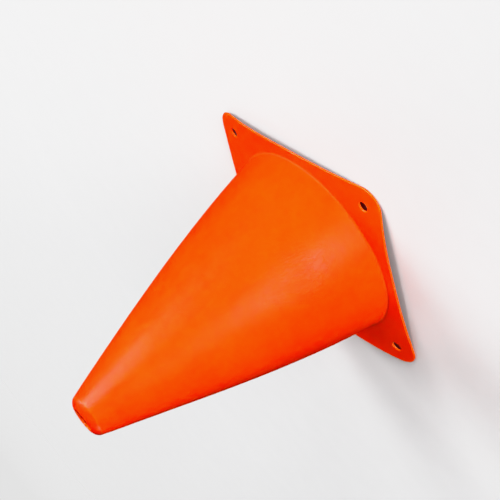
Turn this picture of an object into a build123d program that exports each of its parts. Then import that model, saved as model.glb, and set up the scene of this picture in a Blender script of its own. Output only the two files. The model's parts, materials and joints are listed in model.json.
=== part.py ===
"""Small training / marker cone: a thin-walled hollow cone on a square base flange.

The cone is one injection moulding in a soft thermoplastic.  It is modelled as the three
regions that the moulding has: the dished square flange, the tapering body and the domed
end ring round the tip hole.  They meet face to face.

Frame: +Z is the cone's axis, pointing to the tip.  The origin is the centre of the base
at floor level, so the four corners of the flange touch z = 0.  Units are millimetres.
"""
from build123d import *
import os
from math import cos, radians, sqrt, tan

# ---- driving dimensions ------------------------------------------------------------------
HEIGHT = 182.5            # floor to the rim of the tip hole
BASE_SIDE = 140.0         # across the flats of the square flange
CORNER_R = 13.5           # plan radius of the flange's corners
WALL = 1.2                # thickness of the body and of the flange
CORNER_DROP = 3.0         # how far the flange's corners sink below its middle

BODY_R_BASE = 61.8        # outer radius where the body meets the flange
BODY_R_TIP = 13.2         # outer radius where the body meets the end ring
LEAN_AT_BASE = 9.9        # degrees from vertical of the wall at the flange
LEAN_AT_TIP = 17.3        # degrees from vertical of the wall at the tip
FOOT_FILLET_RUN = 1.4     # outside fillet between body and flange: its run along each of them

HOLE_R = 3.0              # corner holes
HOLE_SPACING = 113.8      # from hole to hole, along X and along Y

TIP_HOLE_R = 7.0          # hole in the end of the tip
TIP_RISE = 3.9            # how far the domed end ring rises from the body to the hole's rim
TIP_BULGE = 0.5           # how far the dome stands off a straight slope
TIP_RIM_T = 1.4           # length of the tip hole's bore
TIP_RIM_FLAT = 0.6        # width of the flat rim round the tip hole
TIP_LIP_R = 0.25          # rounding of the tip hole's upper edge

CUT_MARGIN = 4.0          # how far a cutting shape runs past what it cuts

# ---- derived places ----------------------------------------------------------------------
FLANGE_Z = CORNER_DROP                        # underside of the flange's flat middle
BODY_Z = FLANGE_Z + WALL                      # foot of the body
RING_Z = HEIGHT - TIP_RISE                    # top of the body, foot of the end ring
BODY_R_INNER = BODY_R_BASE - WALL             # mouth of the cone
LAND_R = BODY_R_BASE + FOOT_FILLET_RUN        # the flange is flat out to here
CORNER_REACH = BASE_SIDE / sqrt(2) - CORNER_R * (sqrt(2) - 1)
DISH_RUN = CORNER_REACH - LAND_R
DISH_R = (DISH_RUN**2 + CORNER_DROP**2) / (2 * CORNER_DROP)


def on_axis_plane(outline):
    """Face in the XZ plane, where local X is the radius and local Y is the height."""
    return Plane.XZ * make_face(outline)


def dished_arc(z_flat, run):
    """Arc that leaves the flat land level and falls away outwards, for the given run."""
    def drop(distance):
        return DISH_R - sqrt(DISH_R**2 - distance**2)

    start = (LAND_R, z_flat)
    middle = (LAND_R + run / 2, z_flat - drop(run / 2))
    end = (LAND_R + run, z_flat - drop(run))
    return ThreePointArc(start, middle, end)


def base_flange():
    """Square flange, flat round the cone's mouth and sinking towards its corners."""
    run = DISH_RUN + CUT_MARGIN
    lower = dished_arc(FLANGE_Z, run)
    upper = dished_arc(BODY_Z, run)
    section = Line((BODY_R_INNER, FLANGE_Z), lower @ 0) + lower
    section += Line(lower @ 1, upper @ 1) + upper
    section += Line(upper @ 0, (BODY_R_INNER, BODY_Z))
    section += Line((BODY_R_INNER, BODY_Z), (BODY_R_INNER, FLANGE_Z))
    dish = revolve(on_axis_plane(section), Axis.Z, 360)

    square = RectangleRounded(BASE_SIDE, BASE_SIDE, CORNER_R)
    flange = dish & extrude(square, BODY_Z + CUT_MARGIN)
    drill = Cylinder(HOLE_R, 2 * (BODY_Z + CUT_MARGIN))
    holes = GridLocations(HOLE_SPACING, HOLE_SPACING, 2, 2) * drill
    return flange - holes


def body_generator(shift):
    """The wall's slightly bowed line from foot to tip, moved inwards by shift."""
    third = (RING_Z - BODY_Z) / 3
    foot = Vector(BODY_R_BASE - shift, BODY_Z)
    top = Vector(BODY_R_TIP - shift, RING_Z)
    above_foot = foot + Vector(-third * tan(radians(LEAN_AT_BASE)), third)
    below_top = top + Vector(third * tan(radians(LEAN_AT_TIP)), -third)
    return Bezier(foot, above_foot, below_top, top)


def cone_body():
    """Hollow tapering body, open below and above, with a small outside fillet at its foot."""
    outer = body_generator(0.0)
    inner = body_generator(WALL)
    rise = FOOT_FILLET_RUN * cos(radians(LEAN_AT_BASE))
    wall = outer.trim(rise / (RING_Z - BODY_Z), 1)
    toe = (LAND_R, BODY_Z)
    section = TangentArc(toe, wall @ 0, tangent=(-1, 0)) + wall
    section += Line(wall @ 1, inner @ 1) + inner + Line(inner @ 0, toe)
    return revolve(on_axis_plane(section), Axis.Z, 360)


def tip_ring():
    """Domed annular end of the tip, with a flat rim round a straight through hole."""
    foot = (BODY_R_TIP, RING_Z)
    inner_foot = (BODY_R_TIP - WALL, RING_Z)
    rim = (TIP_HOLE_R + TIP_RIM_FLAT, HEIGHT)
    lip = (TIP_HOLE_R, HEIGHT)
    bore_end = (TIP_HOLE_R, HEIGHT - TIP_RIM_T)
    section = SagittaArc(rim, foot, TIP_BULGE) + Line(foot, inner_foot)
    section += SagittaArc(inner_foot, bore_end, -TIP_BULGE)
    section += Line(bore_end, lip) + Line(lip, rim)
    ring = revolve(on_axis_plane(section), Axis.Z, 360)
    circles = ring.edges().filter_by(GeomType.CIRCLE)
    upper_lip = circles.group_by(Axis.Z)[-1].sort_by(SortBy.RADIUS)[0]
    return fillet(upper_lip, TIP_LIP_R)


PARTS = {
    "base_flange": base_flange(),
    "cone_body": cone_body(),
    "tip_ring": tip_ring(),
}

os.makedirs("parts", exist_ok=True)
for name, shape in PARTS.items():
    export_step(shape, f"parts/{name}.step")
    box = shape.bounding_box()
    print(f"{name}: volume {shape.volume / 1000:.2f} cm3, z {box.min.Z:.3f} to {box.max.Z:.3f}")
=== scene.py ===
"""Marker cone: detailed meshes, soft-plastic material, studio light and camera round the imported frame."""
import json
from math import atan2, cos, hypot, pi, radians, sin, sqrt, tan

import bmesh
import bpy
from mathutils import Matrix, Vector, noise


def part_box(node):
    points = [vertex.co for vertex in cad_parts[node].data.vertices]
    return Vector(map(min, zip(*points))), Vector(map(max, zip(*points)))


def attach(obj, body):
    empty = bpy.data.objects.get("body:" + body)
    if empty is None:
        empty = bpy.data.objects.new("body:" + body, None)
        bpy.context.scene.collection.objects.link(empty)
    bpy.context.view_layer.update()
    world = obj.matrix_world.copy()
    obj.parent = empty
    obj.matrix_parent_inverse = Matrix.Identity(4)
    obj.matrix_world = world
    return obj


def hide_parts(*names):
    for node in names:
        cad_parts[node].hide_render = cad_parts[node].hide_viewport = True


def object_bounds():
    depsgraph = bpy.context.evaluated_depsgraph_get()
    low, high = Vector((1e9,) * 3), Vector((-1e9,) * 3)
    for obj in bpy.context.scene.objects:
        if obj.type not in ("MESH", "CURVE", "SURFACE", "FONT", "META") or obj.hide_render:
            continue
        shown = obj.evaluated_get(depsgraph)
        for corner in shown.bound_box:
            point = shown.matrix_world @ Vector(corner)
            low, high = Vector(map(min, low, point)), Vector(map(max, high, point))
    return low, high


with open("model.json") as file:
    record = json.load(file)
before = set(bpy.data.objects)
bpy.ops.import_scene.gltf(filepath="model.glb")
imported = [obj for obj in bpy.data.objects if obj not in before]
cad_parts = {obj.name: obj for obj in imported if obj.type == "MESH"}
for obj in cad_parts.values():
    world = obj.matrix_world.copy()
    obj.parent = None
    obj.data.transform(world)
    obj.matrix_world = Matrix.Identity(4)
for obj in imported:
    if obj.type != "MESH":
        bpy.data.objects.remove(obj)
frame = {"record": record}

CAD_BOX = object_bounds()
MIDDLE = (CAD_BOX[0] + CAD_BOX[1]) / 2
MM = 0.001

# ---- sizes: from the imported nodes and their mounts, and the wall's two leans -------------
FLANGE_LO, FLANGE_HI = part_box("base_flange")
BODY_LO, BODY_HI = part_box("cone_body")
TIP_LO, TIP_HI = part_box("tip_ring")
MOUNTS = {m["name"]: m for m in frame["record"]["mounts"]}

HALF_SIDE = FLANGE_HI.x                                     # half the square flange
CORNER_R = 13.5 * MM                                        # plan radius of its corners
WALL = 1.2 * MM                                             # wall and flange thickness
BODY_Z = BODY_LO.z                                          # flange top, foot of the body
RING_Z = TIP_LO.z                                           # top of the body
TOP_Z = TIP_HI.z                                            # rim of the tip hole
LAND_R = BODY_HI.x                                          # the flange is flat out to here
FOOT_FILLET_RUN = 1.4 * MM                                  # outside fillet at the body's foot
BODY_R_BASE = LAND_R - FOOT_FILLET_RUN
BODY_R_TIP = TIP_HI.x
MOUTH_R = BODY_R_BASE - WALL                                # open bottom of the cone
LEAN_AT_BASE = radians(9.9)
LEAN_AT_TIP = radians(17.3)
HOLE_R = MOUNTS["corner_holes"]["dims"]["hole_r_mm"] * MM
HOLE_OFFSET = MOUNTS["corner_holes"]["dims"]["spacing_x_mm"] / 2 * MM
TIP_HOLE_R = MOUNTS["tip_hole"]["dims"]["r_mm"] * MM
TIP_RIM_T = MOUNTS["tip_hole"]["dims"]["length_mm"] * MM
TIP_RIM_FLAT = 0.6 * MM                                     # flat rim round the tip hole
TIP_BULGE = 0.5 * MM                                        # how far the domed end is bowed

CORNER_REACH = HALF_SIDE * sqrt(2) - CORNER_R * (sqrt(2) - 1)
DISH_RUN = CORNER_REACH - LAND_R
FLANGE_Z = BODY_Z - WALL                                    # underside of the flange's middle
CORNER_DROP = FLANGE_Z - FLANGE_LO.z
DISH_R = (DISH_RUN**2 + CORNER_DROP**2) / (2 * CORNER_DROP)

# ---- finish of the moulding's edges ------------------------------------------------------
FLANGE_EDGE_R = 0.45 * MM
HOLE_EDGE_R = 0.50 * MM
MOUTH_EDGE_R = 0.30 * MM
TIP_LIP_R = 0.30 * MM
SUPPORT = 0.15 * MM                                         # spacing of the loops beside an edge

# ---- how the soft cone has settled, where it is worn, and where a highlight is painted on ---
FLOOR_EASE = 0.30 * MM                                      # how softly a corner settles on the floor
WAVE_FADE_FOOT = 9 * MM                                     # the wall's waves fade out over this
WAVE_FADE_TOP = 7 * MM                                      # run above the foot, and below the top
DRAW_RUN = 14 * MM                                          # the body's end is drawn in over this
CREASE_RUN = 0.5 * MM                                       # and its last edge rounded over this
TIP_HIGH_SIDE = radians(45)                                 # bearing opposite the end's sunk side
TIP_SINK = 1.4 * MM                                         # how far that side is sunk

# Bands that are worn and are also painted paler as a highlight along the edges:
OUTLINE_RUB = 1.1 * MM                                      # width of the rubbed band along the
HOLE_RUB = 0.9 * MM                                         # flange's outline, round its holes,
SHOULDER_RUB = 0.9 * MM                                     # round the body's top edge
TRIM_RUB = 0.5 * MM                                         # and round the tip hole
FOOT_SHELTER = 2.2 * MM                                     # the foot's corner is clean this far out
CREASED_SPOT = Vector((44.0, 32.0, 48.0)) * MM              # where the body has been squeezed
CREASED_REACH = 34 * MM

# ---- mesh density ------------------------------------------------------------------------
AROUND = 384                                                # sectors round the axis
TURNS = [2 * pi * i / AROUND for i in range(AROUND)]        # their bearings
FLANGE_RINGS = 24                                           # from the mouth to the outline
PATCH_HALF = 6                                              # cells each way round a hole
PATCH_RINGS = (0.25, 0.5, 0.72, 0.9)                        # loops on the way in to its rim
BODY_ROWS = 120
ARC_STEPS = 5


# ---- the moulding's own unevenness -------------------------------------------------------
def ease(x):
    """0 below 0, 1 above 1, smooth in between."""
    x = min(max(x, 0.0), 1.0)
    return x * x * (3 - 2 * x)


def sampled(place, size, shift):
    """Smooth noise from -1 to 1 with features of the given size."""
    return noise.noise(place / size + Vector((shift, shift * 0.7, -shift)))


def up_body(z):
    """Share of the way up the body at a height, 0 at its foot and 1 at its top."""
    return (z - BODY_Z) / (RING_Z - BODY_Z)


def wall_wave(x, y, z):
    """How far the body's wall stands off its true surface, in metres. Nothing at either end."""
    hold = ease((z - BODY_Z) / WAVE_FADE_FOOT) * ease((RING_Z - z) / WAVE_FADE_TOP)
    place = Vector((x, y, z))
    wide = 0.16 * sampled(place, 38 * MM, 3.1)
    middle = 0.055 * sampled(place, 15 * MM, 8.4)
    fine = 0.012 * sampled(place, 4.5 * MM, 12.7)
    return hold * (wide + middle + fine) * MM


def sway(z):
    """How far the soft body has drifted sideways at a height, most of it near the tip."""
    u = up_body(z)
    belly = 0.8 * u * (1 - u)
    return Vector((belly + 0.15 * u**2 + 0.37 * u**6, -belly - 0.26 * u**2 - 0.76 * u**6)) * MM


def fullness(z):
    """How far the body's middle is blown out beyond its drawn line."""
    u = up_body(z)
    return 1.7 * u * (1 - u) * MM


def wall_draw(z):
    """How far the top of the body is drawn inwards: gently, then round the edge at its end."""
    gentle = ease((z - (RING_Z - DRAW_RUN)) / (2 * DRAW_RUN)) * 2
    edge = min(max(z - (RING_Z - CREASE_RUN), 0.0) / CREASE_RUN, 1.0)
    return (0.24 * gentle + 0.06 * edge**2) * MM


def flange_lift(x, y):
    """How far the thin flange is sprung up from its moulded shape: each corner differs."""
    reach = max(hypot(x, y) - LAND_R, 0.0) / DISH_RUN
    turn = atan2(y, x)
    curl = 0.77 + 0.6 * cos(turn + radians(14)) - 1.8 * cos(2 * turn)
    curl += 1.2 * cos(3 * turn - radians(24)) + 0.93 * cos(4 * turn - radians(51))
    ripple = 0.07 * sampled(Vector((x, y, 0.0)), 24 * MM, 5.5)
    return reach * (curl + ripple) * MM


# ---- shared shapes -----------------------------------------------------------------------
def square_reach(turn, inset):
    """Distance from the axis to the rounded square outline, set in by inset, at an angle."""
    turn = abs((turn + pi / 4) % (pi / 2) - pi / 4)
    half, radius = HALF_SIDE - inset, CORNER_R - inset
    core = half - radius
    if tan(turn) <= core / half:
        return half / cos(turn)
    return core * (cos(turn) + sin(turn)) + sqrt(radius**2 - core**2 * (1 - sin(2 * turn)))


def flange_top(x, y):
    """Height of the flange's upper surface, whose underside never goes below the floor."""
    run = max(hypot(x, y) - LAND_R, 0.0)
    sink = DISH_R - sqrt(DISH_R**2 - run**2)
    under = FLANGE_Z - sink + flange_lift(x, y)
    rest = (under + sqrt(under**2 + FLOOR_EASE**2)) / 2
    level = FLANGE_Z - (FLANGE_Z + sqrt(FLANGE_Z**2 + FLOOR_EASE**2)) / 2
    return rest + level + WALL


def generator(t, shift):
    """Point (radius, height) on the wall's bowed line, t from foot to top, set in by shift."""
    third = (RING_Z - BODY_Z) / 3
    foot = Vector((BODY_R_BASE - shift, BODY_Z))
    top = Vector((BODY_R_TIP - shift, RING_Z))
    above_foot = foot + Vector((-third * tan(LEAN_AT_BASE), third))
    below_top = top + Vector((third * tan(LEAN_AT_TIP), -third))
    s = 1 - t
    return s**3 * foot + 3 * s * s * t * above_foot + 3 * s * t * t * below_top + t**3 * top


def foot_fillet():
    """Points (radius, height) of the hollow from the flange up to the wall. Wall left out."""
    toe = Vector((LAND_R, BODY_Z))
    inside = Vector((BODY_R_BASE, BODY_Z))
    heel = inside + Vector((-FOOT_FILLET_RUN * tan(LEAN_AT_BASE), FOOT_FILLET_RUN))
    out = []
    for k in range(2 * ARC_STEPS):
        s = k / (2 * ARC_STEPS)
        out.append((1 - s) ** 2 * toe + 2 * s * (1 - s) * inside + s * s * heel)
    return out


def rounded_edge(radius):
    """Steps (inset, sink) round a quarter-round edge, starting from its flat side."""
    out = []
    for k in range(ARC_STEPS + 1):
        a = pi / 2 * k / ARC_STEPS
        out.append((radius * (1 - sin(a)), radius * (1 - cos(a))))
    return out


def quarter(start, end, corner):
    """Points of a quarter arc from start to end that bulges towards corner, ends included."""
    centre = start + end - corner
    out = []
    for k in range(ARC_STEPS + 1):
        a = pi / 2 * k / ARC_STEPS
        out.append(centre + (start - centre) * cos(a) + (end - centre) * sin(a))
    return out


def bowed(start, end, bulge, steps):
    """Points from start to end, bowed to the left of the way by bulge. End left out."""
    way = end - start
    left = Vector((-way.y, way.x)).normalized()
    out = []
    for k in range(steps):
        share = k / steps
        out.append(start + way * share + left * (4 * bulge * share * (1 - share)))
    return out


# ---- mesh helpers ------------------------------------------------------------------------
def edge_wear_and_sheen(x, y, z):
    """How rubbed a point is, which is also where a paler highlight is painted: 1 on the flange's edges,
    0.6 along the body's top edge, 2 in the tip's trimmed hole, less than 0 in the sheltered corner at
    the body's foot."""
    drift = sway(z)
    radius = hypot(x - drift.x, y - drift.y)
    shelter = 1 - ease(hypot(radius - BODY_R_BASE, z - BODY_Z) / FOOT_SHELTER)
    trimmed = 2 * ease((TIP_HOLE_R + TRIM_RUB - radius) / TRIM_RUB)
    shoulder = 0.6 * (1 - ease(hypot(radius - BODY_R_TIP, z - RING_Z) / SHOULDER_RUB))
    outline = square_reach(atan2(y, x), 0.0) - hypot(x, y)
    hole = abs(hypot(abs(x) - HOLE_OFFSET, abs(y) - HOLE_OFFSET) - HOLE_R)
    rim = 1 - ease(min(outline / OUTLINE_RUB, hole / HOLE_RUB))
    return max(rim, shoulder, trimmed) - 1.8 * shelter


def placed(name, data):
    """New object in the scene from a mesh, a lamp or a camera."""
    thing = bpy.data.objects.new(name, data)
    bpy.context.scene.collection.objects.link(thing)
    return thing


def finish_mesh(name, bm, sharp_degrees):
    """Turns a bmesh into a smooth-shaded object that carries its rub and painted-highlight mask as an
    attribute.
    """
    bmesh.ops.recalc_face_normals(bm, faces=bm.faces)
    mesh = bpy.data.meshes.new(name)
    bm.to_mesh(mesh)
    bm.free()
    mesh.shade_smooth()
    mesh.set_sharp_from_angle(angle=radians(sharp_degrees))
    rub_and_sheen = mesh.attributes.new("rub_and_sheen", "FLOAT", "POINT")
    rub_and_sheen.data.foreach_set("value", [edge_wear_and_sheen(*v.co) for v in mesh.vertices])
    return placed(name, mesh)


def bridge(bm, lower, upper):
    """Quads between two closed loops of equal length."""
    count = len(lower)
    for i in range(count):
        j = (i + 1) % count
        bm.faces.new((lower[i], lower[j], upper[j], upper[i]))


def spun(name, profile, wave):
    """Closed solid of revolution about Z from a closed profile of (radius, height) points.

    wave(radius, turn, height) gives each point's place.
    """
    bm = bmesh.new()
    loops = []
    for point in profile:
        loops.append([bm.verts.new(wave(point.x, turn, point.y)) for turn in TURNS])
    for k, loop in enumerate(loops):
        bridge(bm, loop, loops[(k + 1) % len(loops)])
    return finish_mesh(name, bm, sharp_degrees=40)


# ---- the flange: place(x, y) makes a vertex at one depth below its upper surface ---------
def flange_loop(place, reach):
    """Loop of vertices round the axis, reach(turn) being their distance from it."""
    loop = []
    for turn in TURNS:
        r = reach(turn)
        loop.append(place(r * cos(turn), r * sin(turn)))
    return loop


def ring_reach(turn, share):
    """Distance from the axis at a share of the way from the mouth to the flat's outer end."""
    far = square_reach(turn, FLANGE_EDGE_R + SUPPORT)
    return MOUTH_R + (far - MOUTH_R) * share


def flange_grid(bm, place):
    """Polar grid from the mouth to the outline with a square gap round each hole.

    Returns the inner loop, the outer loop and the gaps' loops.
    """
    shares = [j / FLANGE_RINGS for j in range(FLANGE_RINGS + 1)]
    grid = [flange_loop(place, lambda turn: ring_reach(turn, share)) for share in shares]

    hole_reach = HOLE_OFFSET * sqrt(2)
    corner_far = square_reach(pi / 4, FLANGE_EDGE_R + SUPPORT)
    middle = round((hole_reach - MOUTH_R) / (corner_far - MOUTH_R) * FLANGE_RINGS)
    lows = [AROUND // 8 + q * AROUND // 4 - PATCH_HALF for q in range(4)]
    low_ring, high_ring = middle - PATCH_HALF, middle + PATCH_HALF
    width = 2 * PATCH_HALF

    def in_gap(j, i):
        return low_ring <= j < high_ring and any(lo <= i < lo + width for lo in lows)

    for j in range(FLANGE_RINGS):
        for i in range(AROUND):
            if not in_gap(j, i):
                n = (i + 1) % AROUND
                bm.faces.new((grid[j][i], grid[j][n], grid[j + 1][n], grid[j + 1][i]))

    gaps = []
    for lo in lows:
        loop = [grid[low_ring][lo + k] for k in range(width)]
        loop += [grid[low_ring + k][lo + width] for k in range(width)]
        loop += [grid[high_ring][lo + width - k] for k in range(width)]
        loop += [grid[high_ring - k][lo] for k in range(width)]
        gaps.append(loop)
        for j in range(low_ring + 1, high_ring):
            for i in range(lo + 1, lo + width):
                bm.verts.remove(grid[j][i])
    return grid[0], grid[-1], gaps


def flange_outline(bm, vertex_at, top_out, low_out):
    """Outer edge of the flange, rounded above and below."""
    steps = rounded_edge(FLANGE_EDGE_R)
    steps += [(inset, WALL - sink) for inset, sink in reversed(steps)]
    last = top_out
    for inset, depth in steps:
        loop = flange_loop(vertex_at(depth), lambda turn: square_reach(turn, inset))
        bridge(bm, last, loop)
        last = loop
    bridge(bm, last, low_out)


def flange_mouth(bm, vertex_at, top_in, low_in):
    """Mouth: the body stands on its upper edge, and only the lower edge is rounded."""
    # The lower surface ends where the rounding begins.
    for vertex, turn in zip(low_in, TURNS):
        r = MOUTH_R + MOUTH_EDGE_R
        x, y = r * cos(turn), r * sin(turn)
        vertex.co = (x, y, flange_top(x, y) - WALL)
    last = low_in
    for inset, rise in rounded_edge(MOUTH_EDGE_R)[1:]:
        loop = flange_loop(vertex_at(WALL - rise), lambda turn: MOUTH_R + inset)
        bridge(bm, last, loop)
        last = loop
    bridge(bm, last, top_in)


def hole_loop(gap, centre, radius, place):
    """Loop of vertices on a circle, each at the bearing of its partner in the gap's loop."""
    first = atan2(gap[0].co.y - centre.y, gap[0].co.x - centre.x)
    second = atan2(gap[1].co.y - centre.y, gap[1].co.x - centre.x)
    way = 1 if (second - first) % (2 * pi) < pi else -1
    out = []
    for k in range(len(gap)):
        a = first + way * 2 * pi * k / len(gap)
        out.append(place(centre.x + radius * cos(a), centre.y + radius * sin(a)))
    return out


def flange_hole(bm, vertex_at, centre, top_gap, low_gap):
    """Straight bore with both edges rounded, and the surfaces between it and its gaps."""
    rims = []
    for gap, depth, way in ((top_gap, 0.0, 1), (low_gap, WALL, -1)):
        place = vertex_at(depth)
        target = hole_loop(gap, centre, HOLE_R + HOLE_EDGE_R + SUPPORT, place)
        last = gap
        for share in PATCH_RINGS:
            spots = [far.co.lerp(near.co, share) for far, near in zip(gap, target)]
            loop = [place(spot.x, spot.y) for spot in spots]
            bridge(bm, last, loop)
            last = loop
        bridge(bm, last, target)
        last = target
        for inset, sink in rounded_edge(HOLE_EDGE_R):
            loop = hole_loop(gap, centre, HOLE_R + inset, vertex_at(depth + way * sink))
            bridge(bm, last, loop)
            last = loop
        rims.append(last)
    bridge(bm, rims[0], rims[1])


def build_flange():
    """Square dished flange with rounded edges and four holes."""
    bm = bmesh.new()

    def vertex_at(depth):
        """Makes vertices at a depth below the upper surface."""
        return lambda x, y: bm.verts.new((x, y, flange_top(x, y) - depth))

    top_in, top_out, top_gaps = flange_grid(bm, vertex_at(0.0))
    low_in, low_out, low_gaps = flange_grid(bm, vertex_at(WALL))
    flange_outline(bm, vertex_at, top_out, low_out)
    flange_mouth(bm, vertex_at, top_in, low_in)
    signs = [(1, 1), (-1, 1), (-1, -1), (1, -1)]
    for top_gap, low_gap, (sx, sy) in zip(top_gaps, low_gaps, signs):
        centre = Vector((sx * HOLE_OFFSET, sy * HOLE_OFFSET))
        flange_hole(bm, vertex_at, centre, top_gap, low_gap)
    return finish_mesh("flange_moulding", bm, sharp_degrees=50)


# ---- the body and the end of the tip -----------------------------------------------------
def build_body():
    """Tapering hollow body, standing on the flange."""
    first = FOOT_FILLET_RUN / (RING_Z - BODY_Z)
    last = 1 - CREASE_RUN / (RING_Z - BODY_Z)
    outer = [generator(first + (last - first) * k / BODY_ROWS, 0.0) for k in range(BODY_ROWS + 1)]
    crease = [generator(last + (1 - last) * k / ARC_STEPS, 0.0) for k in range(1, ARC_STEPS + 1)]
    inner = [generator(k / BODY_ROWS, WALL) for k in range(BODY_ROWS, -1, -1)]

    def uneven(r, turn, z):
        """The wall's true surface, waved, full in the middle and drifting sideways."""
        r += wall_wave(r * cos(turn), r * sin(turn), z) + fullness(z) - wall_draw(z)
        drift = sway(z)
        return drift.x + r * cos(turn), drift.y + r * sin(turn), z

    return spun("body_moulding", foot_fillet() + outer + crease + inner, uneven)


def build_tip():
    """Domed annular end of the tip, sunk a little on its far side, with a roughly trimmed hole."""
    up = Vector((0, 1))
    out = Vector((1, 0))
    foot = Vector((BODY_R_TIP, RING_Z))
    rim = Vector((TIP_HOLE_R + TIP_RIM_FLAT, TOP_Z))
    lip = Vector((TIP_HOLE_R, TOP_Z))
    heel = Vector((TIP_HOLE_R, TOP_Z - TIP_RIM_T))
    inner_foot = Vector((BODY_R_TIP - WALL, RING_Z))
    profile = bowed(foot, rim, -TIP_BULGE, 3 * ARC_STEPS)
    profile += quarter(lip + out * TIP_LIP_R, lip - up * TIP_LIP_R, lip)
    profile.append(lip.lerp(heel, 0.5))
    profile += bowed(heel, inner_foot, TIP_BULGE, 2 * ARC_STEPS)
    profile.append(inner_foot)

    def trimmed(r, turn, z):
        """The end's true surface, drawn in, sunk on one side and rough round the hole."""
        inwards = (BODY_R_TIP - r) / (BODY_R_TIP - TIP_HOLE_R)
        far_side = (1 - cos(turn - TIP_HIGH_SIDE)) / 2
        rough = noise.noise(Vector((2.4 * cos(turn), 2.4 * sin(turn), 4.0)))
        lumps = noise.noise(Vector((5.5 * cos(turn), 5.5 * sin(turn), 2.2 * z / MM)))
        near_hole = ease(inwards * 3 - 2)
        r -= (1 - inwards) * wall_draw(RING_Z) + near_hole * (0.18 * rough + 0.30 * lumps) * MM
        z -= TIP_SINK * far_side * ease(inwards) + near_hole * max(0.25 * lumps + 0.05, 0.0) * MM
        drift = sway(z)
        return drift.x + r * cos(turn), drift.y + r * sin(turn), z

    return spun("tip_moulding", profile, trimmed)


# ---- materials ---------------------------------------------------------------------------
class Nodes:
    """Short way to add and join shader nodes."""

    def __init__(self, name):
        self.material = bpy.data.materials.new(name)
        self.material.use_nodes = True
        self.tree = self.material.node_tree
        self.shader = self.tree.nodes["Principled BSDF"]
        self.place = self.add("ShaderNodeTexCoord").outputs["Object"]

    def add(self, kind, **settings):
        """New node, each setting being an input's value or a property of the node."""
        node = self.tree.nodes.new(kind)
        for key, value in settings.items():
            if key in node.inputs:
                node.inputs[key].default_value = value
            else:
                setattr(node, key, value)
        return node

    def join(self, source, target):
        self.tree.links.new(source, target)

    def noise(self, place, scale, detail, roughness):
        """Noise of 0 to 1, scale being features per metre."""
        node = self.add("ShaderNodeTexNoise", Scale=scale, Detail=detail, Roughness=roughness)
        self.join(place, node.inputs["Vector"])
        return node.outputs["Fac"]

    def distance(self, point):
        """How far the shaded place is from a point."""
        node = self.add("ShaderNodeVectorMath", operation="DISTANCE")
        self.join(self.place, node.inputs[0])
        node.inputs[1].default_value = point
        return node.outputs["Value"]

    def math(self, operation, left, right):
        """Result of a sum on two values, each a socket or a plain float."""
        node = self.add("ShaderNodeMath", operation=operation)
        for value, socket in ((left, node.inputs[0]), (right, node.inputs[1])):
            if isinstance(value, float):
                socket.default_value = value
            else:
                self.join(value, socket)
        return node.outputs["Value"]

    def blend(self, share, left, right):
        """Mix of two values, share being how much of the second."""
        node = self.add("ShaderNodeMix", data_type="FLOAT", Factor=share)
        self.join(left, node.inputs["A"])
        self.join(right, node.inputs["B"])
        return node.outputs["Result"]

    def tint(self, share, colour, other):
        """A colour mixed with a fixed other one, share being how much of the other."""
        node = self.add("ShaderNodeMix", data_type="RGBA")
        factor, first, second = node.inputs[0], node.inputs[6], node.inputs[7]
        self.join(share, factor)
        self.join(colour, first)
        second.default_value = (*other, 1)
        return node.outputs[2]

    def span(self, value, low, high, to_low, to_high):
        """Value's stretch from low to high, spread over to_low to to_high and held there."""
        node = self.add("ShaderNodeMapRange")
        names = ("From Min", "From Max", "To Min", "To Max")
        for name, number in zip(names, (low, high, to_low, to_high)):
            node.inputs[name].default_value = number
        self.join(value, node.inputs["Value"])
        return node.outputs["Result"]

    def ramp(self, value, *stops):
        """Colour ramp through two (position, colour) stops."""
        node = self.add("ShaderNodeValToRGB")
        for element, (position, colour) in zip(node.color_ramp.elements, stops):
            element.position = position
            element.color = (*colour, 1)
        self.join(value, node.inputs["Fac"])
        return node.outputs["Color"]

    def bump(self, height, strength, distance, below=None):
        """Normal from a height, laid over another bump's normal. Negative strength digs in."""
        node = self.add("ShaderNodeBump", Strength=abs(strength), Distance=distance)
        node.invert = strength < 0
        self.join(height, node.inputs["Height"])
        if below:
            self.join(below, node.inputs["Normal"])
        return node.outputs["Normal"]


def plastic_colour(n, rub_and_sheen, wear_and_sheen):
    """Cloudy drift of the pigment and small mottling; paler where the edges are rubbed, partly wear and
    partly a painted highlight; deeper red towards the body's top, and more on the dome as painted
    shade where the end faces away from the lamps."""
    cloud = n.blend(0.45, n.noise(n.place, 26.0, 4.0, 0.55), n.noise(n.place, 190.0, 5.0, 0.6))
    hue = n.ramp(cloud, (0.36, (0.92, 0.040, 0.0003)), (0.64, (0.95, 0.055, 0.0010)))
    # Painted highlight, partly wear: the flange's edges and holes, the body's top edge and the tip hole
    # turn a paler orange.
    tone = n.tint(n.math("MULTIPLY", wear_and_sheen, 0.55), hue, (0.97, 0.14, 0.015))
    height = n.add("ShaderNodeSeparateXYZ")
    n.join(n.place, height.inputs["Vector"])
    # Deeper red towards the body's top, and painted shade on the dome, which faces away from the lamps.
    near_end = n.span(height.outputs["Z"], RING_Z - 30 * MM, RING_Z, 0.0, 0.20)
    dome = n.span(height.outputs["Z"], RING_Z + 0.2 * MM, RING_Z + 1.4 * MM, 0.0, 0.30)
    away_from_wear_and_sheen = n.span(rub_and_sheen, 0.0, 1.0, 1.0, 0.0)
    deeper_top_and_painted_shade = n.math("MULTIPLY", n.math("ADD", near_end, dome), away_from_wear_and_sheen)
    return n.tint(deeper_top_and_painted_shade, tone, (0.86, 0.015, 0.0003))


def plastic_roughness(n, wear_and_sheen):
    """Satin in patches, and smoother where the edges are polished by handling."""
    satin = n.span(n.noise(n.place, 95.0, 6.0, 0.62), 0.3, 0.7, 0.30, 0.42)
    return n.math("SUBTRACT", satin, n.math("MULTIPLY", wear_and_sheen, 0.20))


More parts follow.
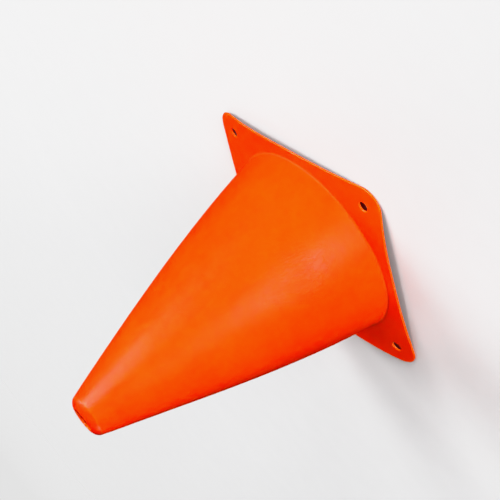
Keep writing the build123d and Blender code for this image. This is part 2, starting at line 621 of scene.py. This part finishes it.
def plastic_creases(n):
    """Fine slanting lines, 1 along each: many round the squeezed spot, fainter patches elsewhere."""
    slant = n.add("ShaderNodeMapping", Rotation=(0.5, 0.6, 0.35), Scale=(1.0, 1.0, 0.3))
    n.join(n.place, slant.inputs["Vector"])
    ridge = n.math("SUBTRACT", n.noise(slant.outputs["Vector"], 420.0, 3.0, 0.6), 0.5)
    crease = n.span(n.math("ABSOLUTE", ridge, 0.0), 0.0, 0.09, 1.0, 0.0)
    spot = n.span(n.distance(CREASED_SPOT), 0.2 * CREASED_REACH, CREASED_REACH, 1.0, 0.0)
    elsewhere = n.span(n.noise(n.place, 45.0, 2.0, 0.5), 0.45, 0.60, 0.0, 0.35)
    return n.math("MULTIPLY", crease, n.math("MAXIMUM", spot, elsewhere))


def plastic_relief(n):
    """Shallow unevenness, the moulding's fine grain, and the creases."""
    swell = n.bump(n.noise(n.place, 150.0, 3.0, 0.5), 0.16, 0.0010)
    grain = n.bump(n.noise(n.place, 1500.0, 3.0, 0.55), 0.08, 0.00015, swell)
    return n.bump(plastic_creases(n), -0.55, 0.00013, grain)


def soft_plastic(name):
    """Satin, translucent orange polyethylene."""
    n = Nodes(name)
    inputs = n.shader.inputs
    inputs["IOR"].default_value = 1.5
    inputs["Specular IOR Level"].default_value = 0.26
    inputs["Specular Tint"].default_value = (1.0, 0.90, 0.78, 1)
    inputs["Subsurface Weight"].default_value = 0.55
    inputs["Subsurface Radius"].default_value = (1.0, 0.18, 0.04)
    inputs["Subsurface Scale"].default_value = 0.0022
    rub_and_sheen = n.add("ShaderNodeAttribute", attribute_name="rub_and_sheen").outputs["Fac"]
    fray = n.noise(n.place, 900.0, 3.0, 0.7)
    # Wear that also carries a painted highlight: it tints the edges paler and makes them smoother.
    wear_and_sheen = n.math("MULTIPLY", rub_and_sheen, n.span(fray, 0.35, 0.65, 0.55, 1.0))
    n.join(plastic_colour(n, rub_and_sheen, wear_and_sheen), inputs["Base Color"])
    n.join(plastic_roughness(n, wear_and_sheen), inputs["Roughness"])
    n.join(plastic_relief(n), inputs["Normal"])
    return n.material


def pale_paper(name):
    """Plain pale paper with a very faint grain, which fades into the backdrop far out."""
    n = Nodes(name)
    inputs = n.shader.inputs
    inputs["Roughness"].default_value = 0.85
    grain = n.noise(n.place, 60.0, 4.0, 0.5)
    tones = n.ramp(grain, (0.0, (0.60, 0.60, 0.605)), (1.0, (0.63, 0.63, 0.635)))
    n.join(tones, inputs["Base Color"])
    near, far = FLOOR_FADE
    n.join(n.span(n.distance(Vector()), near, far, 1.0, 0.0), inputs["Alpha"])
    return n.material


# ---- stage, light and camera -------------------------------------------------------------
FLOOR_HALF = 2.0                                            # half the side of the square floor
FLOOR_FADE = (0.4, 1.4)                                     # it fades out between these radii
AMBIENT = 0.10                                              # light from all round
BACKDROP = 0.62                                             # what the camera sees behind the floor

STUDIO = (
    # name, azimuth, elevation, distance, width, height, watts, for colour, for gloss
    ("front_fill", 129, 8, 2.5, 1.3, 0.6, 79, True, False),
    ("front_side_fill", 165, 8, 2.5, 1.3, 0.6, 40, True, False),
    ("side_fill", 250, 36, 2.5, 1.3, 1.3, 42, True, False),
    ("back_fill", 315, 14, 2.5, 1.4, 0.8, 30, True, False),
    ("low_key", 202, 26, 2.5, 0.6, 0.6, 12, True, True),
    ("high_key", 202, 48, 2.5, 0.6, 0.6, 20, True, True),
    ("front_key", 116, 3, 2.5, 1.5, 0.3, 25, True, True),
    ("tip_key", 184, 35, 0.54, 0.34, 0.11, 1.55, False, True),
    ("side_edge", 236, 36, 2.5, 0.8, 0.8, 24, False, True),
    ("front_edge", 30, 36, 2.5, 0.8, 0.8, 13, False, True),
)

CAMERA_TARGET = Vector((-13.10, 13.11, 40.81)) * MM
CAMERA_AZIMUTH = 134.973
CAMERA_ELEVATION = 21.006
CAMERA_ROLL = -126.97                                       # the photo's cone lies on its side
CAMERA_DISTANCE = 0.9217
CAMERA_LENS = 112.45                                        # millimetres, as is the sensor
SENSOR_WIDTH = 36.0
CAMERA_TONES = ((0.0, 0.0), (0.03, 0.011), (0.06, 0.050), (0.10, 0.10), (0.25, 0.27),
                (0.50, 0.61), (0.72, 0.85), (1.0, 0.915))   # (light, shown)


def facing(azimuth, elevation):
    a, e = radians(azimuth), radians(elevation)
    return Vector((sin(a) * cos(e), -cos(a) * cos(e), sin(e)))


def aim(thing, target, roll=0.0):
    """Turns a camera or lamp to look at target, then rolls it by roll degrees."""
    look = (target - thing.location).to_track_quat("-Z", "Y")
    thing.rotation_mode = "QUATERNION"
    thing.rotation_quaternion = look @ Matrix.Rotation(radians(roll), 3, "Z").to_quaternion()


def softbox(name, azimuth, elevation, distance, width, height, watts, colours, mirrored):
    """Rectangular studio light that looks at the object, for its colour, its gloss or both."""
    lamp = bpy.data.lights.new(name, "AREA")
    lamp.shape = "RECTANGLE"
    lamp.size, lamp.size_y = width, height
    lamp.energy = watts
    holder = placed(name, lamp)
    holder.location = MIDDLE + facing(azimuth, elevation) * distance
    aim(holder, MIDDLE)
    holder.visible_diffuse = colours
    holder.visible_glossy = mirrored


def build_floor():
    """Plain floor that takes the cone's shadow but doesn't light it or show in its gloss."""
    bm = bmesh.new()
    bmesh.ops.create_grid(bm, x_segments=8, y_segments=8, size=FLOOR_HALF)
    mesh = bpy.data.meshes.new("studio_floor")
    bm.to_mesh(mesh)
    bm.free()
    floor = placed("studio_floor", mesh)
    floor.data.materials.append(pale_paper("pale_paper"))
    floor.visible_glossy = False
    floor.visible_diffuse = False


def build_world():
    """White surround, dim as a light and brighter as a backdrop."""
    world = bpy.data.worlds.new("studio_world")
    bpy.context.scene.world = world
    world.use_nodes = True
    world.cycles_visibility.glossy = False
    tree = world.node_tree
    sky = tree.nodes["Background"]
    sky.inputs["Color"].default_value = (1.0, 1.0, 1.0, 1)
    seen = tree.nodes.new("ShaderNodeLightPath").outputs["Is Camera Ray"]
    brightness = tree.nodes.new("ShaderNodeMapRange")
    brightness.inputs["To Min"].default_value = AMBIENT
    brightness.inputs["To Max"].default_value = BACKDROP
    tree.links.new(seen, brightness.inputs["Value"])
    tree.links.new(brightness.outputs["Result"], sky.inputs["Strength"])


def build_camera():
    """Camera at the photo's viewpoint."""
    data = bpy.data.cameras.new("photo_camera")
    data.lens = CAMERA_LENS
    data.sensor_width = SENSOR_WIDTH
    data.clip_start, data.clip_end = 0.01, 30.0
    camera = placed("photo_camera", data)
    camera.location = CAMERA_TARGET + facing(CAMERA_AZIMUTH, CAMERA_ELEVATION) * CAMERA_DISTANCE
    aim(camera, CAMERA_TARGET, CAMERA_ROLL)
    bpy.context.scene.camera = camera


def camera_tones(view):
    """Standard view with a camera's contrast: deeper shadows and a soft shoulder below white."""
    view.view_transform = "Standard"
    view.use_curve_mapping = True
    mapping = view.curve_mapping
    mapping.extend = "HORIZONTAL"
    curve = mapping.curves[3]
    curve.points[0].location = CAMERA_TONES[0]
    curve.points[-1].location = CAMERA_TONES[-1]
    for light, shown in CAMERA_TONES[1:-1]:
        curve.points.new(light, shown)
    mapping.update()


# ---- the scene ---------------------------------------------------------------------------
build_floor()
build_world()
build_camera()
for light in STUDIO:
    softbox(*light)
camera_tones(bpy.context.scene.view_settings)

plastic = soft_plastic("orange_soft_plastic")
for build, node in (
    (build_flange, "base_flange"),
    (build_body, "cone_body"),
    (build_tip, "tip_ring"),
):
    piece = build()
    piece.data.materials.append(plastic)
    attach(piece, "root")
    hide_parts(node)
